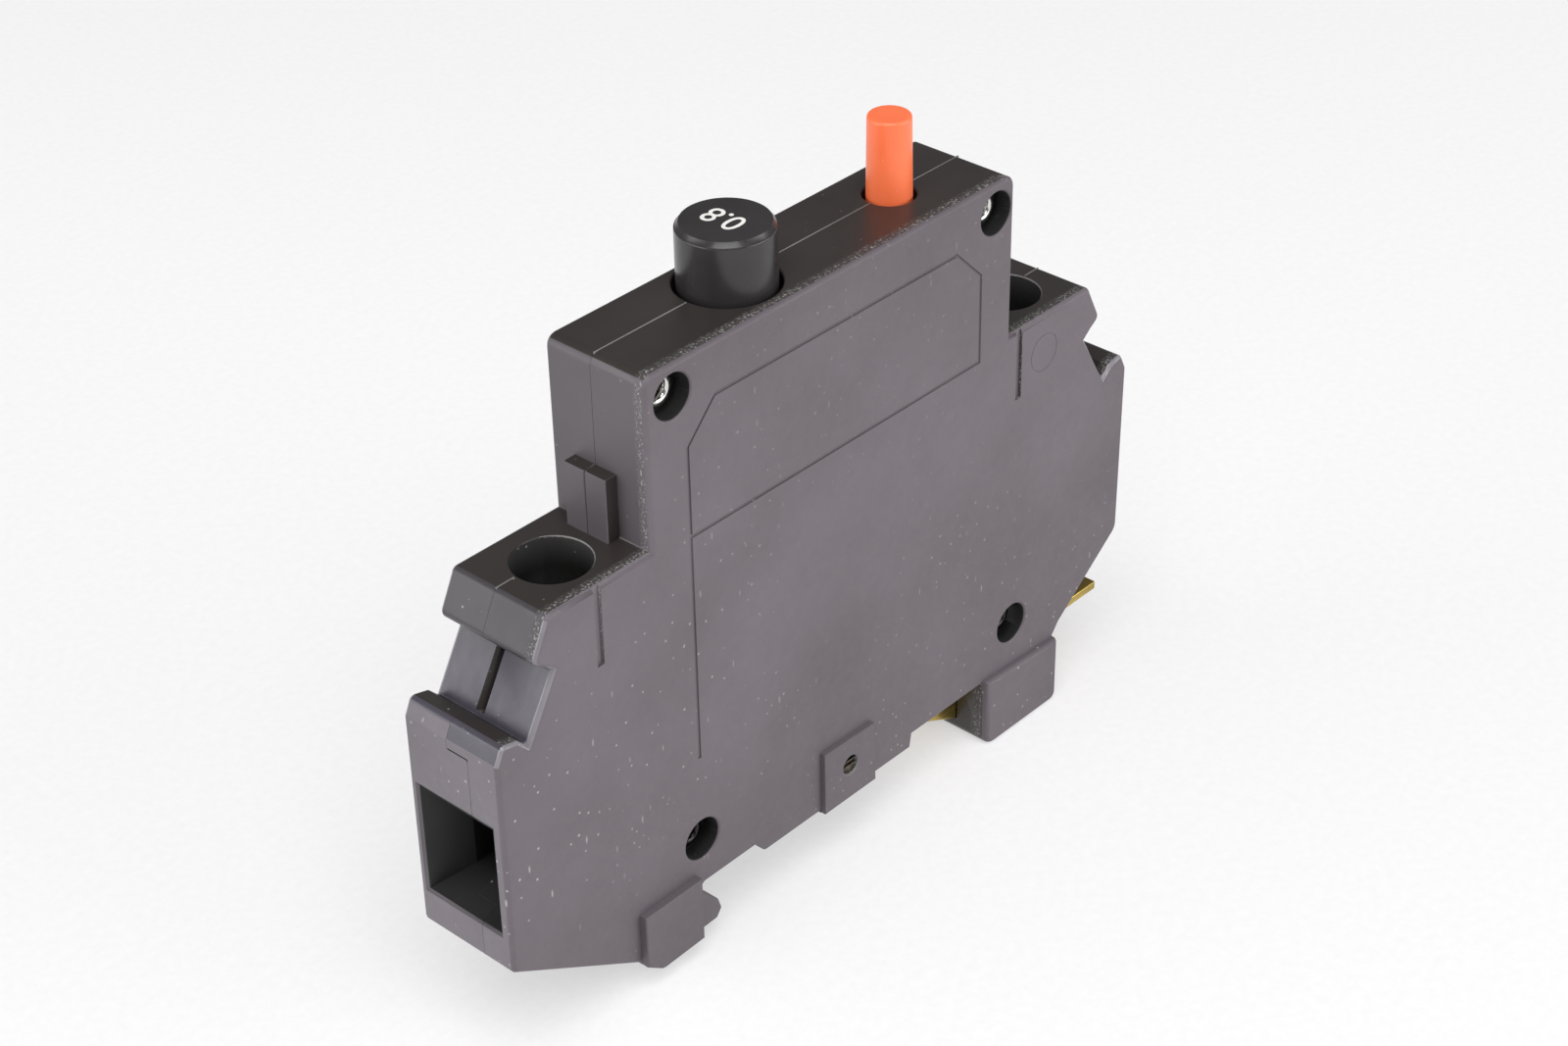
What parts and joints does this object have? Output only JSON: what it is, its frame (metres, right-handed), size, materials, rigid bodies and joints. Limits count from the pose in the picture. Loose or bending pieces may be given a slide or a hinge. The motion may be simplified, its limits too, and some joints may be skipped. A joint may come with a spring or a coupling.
{
  "type": "circuit breaker",
  "caption": "Slim black rail-mount thermal circuit breaker with a tall round reset button, an orange release button, and recessed screw terminals at both ends.",
  "frame": {"origin": "centre of the length, middle of the housing thickness, on the plane under the rail feet", "axes": "+X along the length towards the end with the spring latch, +Y from the raised-pad side towards the plain side, +Z away from the rail towards the buttons"},
  "size_m": [0.0928, 0.0134, 0.0764],
  "materials": {
    "near_moulding": "satin",
    "far_moulding": "satin",
    "rivet_metal": "satin",
    "reset_plastic": "semi-gloss",
    "release_plastic": "satin",
    "spring_steel": "satin",
    "copper_alloy": "satin",
    "silver_contact": "satin",
    "pin_steel": "polished",
    "trip_plastic": "matte",
    "bimetal_strip": "satin",
    "heater_wire": "satin",
    "carrier_steel": "satin",
    "calibration_metal": "satin",
    "braid_copper": "satin",
    "bar_metal": "satin",
    "cage_steel": "satin",
    "screw_steel": "satin",
    "latch_brass": "satin",
    "liner_fibre": "matte"
  },
  "bodies": {
    "housing": {"near_shell": "near_moulding", "far_shell": "far_moulding", "rivet_top_left": "rivet_metal", "rivet_top_right": "rivet_metal", "rivet_low_left": "rivet_metal", "rivet_low_right": "rivet_metal", "lever_pin": "pin_steel", "trip_pin": "pin_steel", "bar_left": "bar_metal", "fixed_contact": "silver_contact", "bar_right": "bar_metal", "bimetal_carrier": "carrier_steel", "arc_liner": "liner_fibre", "braid_lead": "braid_copper", "reset_spring": "spring_steel", "release_spring": "spring_steel", "latch_spring": "spring_steel"},
    "reset": {"reset_button": "reset_plastic"},
    "release": {"release_button": "release_plastic"},
    "lever": {"contact_lever": "copper_alloy", "moving_contact": "silver_contact"},
    "trip": {"trip_lever": "trip_plastic"},
    "strip": {"bimetal": "bimetal_strip", "heater_winding": "heater_wire"},
    "adjuster": {"calibration_screw": "calibration_metal"},
    "left_screw": {"screw_left": "screw_steel"},
    "right_screw": {"screw_right": "screw_steel"},
    "left_cage": {"cage_left": "cage_steel"},
    "right_cage": {"cage_right": "cage_steel"},
    "latch": {"rail_latch": "latch_brass"}
  },
  "joints": [
    {"name": "reset_push", "type": "slide", "parent": "housing", "child": "reset", "axis": [0, 0, -1], "range_m": [0, 0.0035], "stiffness_N_per_m": 600, "springref_m": -0.004, "deforming": ["reset_spring"]},
    {"name": "contact_swing", "type": "hinge", "parent": "housing", "child": "lever", "pos_m": [0.004, 0.0005, 0.03794], "axis": [0, -1, 0], "range_deg": [0, 16.67], "deforming": ["braid_lead"]},
    {"name": "release_push", "type": "slide", "parent": "housing", "child": "release", "axis": [0, 0, -1], "range_m": [0, 0.002], "stiffness_N_per_m": 500, "springref_m": -0.003, "deforming": ["release_spring"]},
    {"name": "trip_swing", "type": "hinge", "parent": "housing", "child": "trip", "pos_m": [0.0075, 0.0005, 0.046], "axis": [0, 1, 0], "range_deg": [0, 15.55]},
    {"name": "strip_bend", "type": "hinge", "parent": "housing", "child": "strip", "pos_m": [0.0115, 0.0005, 0.015], "axis": [0, -1, 0], "range_deg": [0, 3], "stiffness_Nm_per_rad": 0.05},
    {"name": "adjuster_turn", "type": "hinge", "parent": "housing", "child": "adjuster", "pos_m": [0.0005, 0, 0.0104], "axis": [0, 1, 0], "range_deg": [-180, 180]},
    {"name": "left_screw_turn", "type": "hinge", "parent": "housing", "child": "left_screw", "pos_m": [-0.0326, 0, 0.04], "axis": [0, 0, -1], "range_deg": [0, 2881]},
    {"name": "left_cage_lift", "type": "slide", "parent": "housing", "child": "left_cage", "axis": [0, 0, 1], "range_m": [0, 0.0056]},
    {"name": "right_screw_turn", "type": "hinge", "parent": "housing", "child": "right_screw", "pos_m": [0.0326, 0, 0.04], "axis": [0, 0, -1], "range_deg": [0, 2881]},
    {"name": "right_cage_lift", "type": "slide", "parent": "housing", "child": "right_cage", "axis": [0, 0, 1], "range_m": [0, 0.0056]},
    {"name": "latch_pull", "type": "slide", "parent": "housing", "child": "latch", "axis": [1, 0, 0], "range_m": [0, 0.0028], "stiffness_N_per_m": 900, "springref_m": -0.002, "deforming": ["latch_spring"]}
  ],
  "couplings": [
    {"joint": "contact_swing", "follows": "reset_push", "rad_per_m": 82.891},
    {"joint": "trip_swing", "follows": "release_push", "rad_per_m": 135.14},
    {"joint": "left_screw_turn", "follows": "left_cage_lift", "rad_per_m": 8976},
    {"joint": "right_screw_turn", "follows": "right_cage_lift", "rad_per_m": 8976}
  ]
}
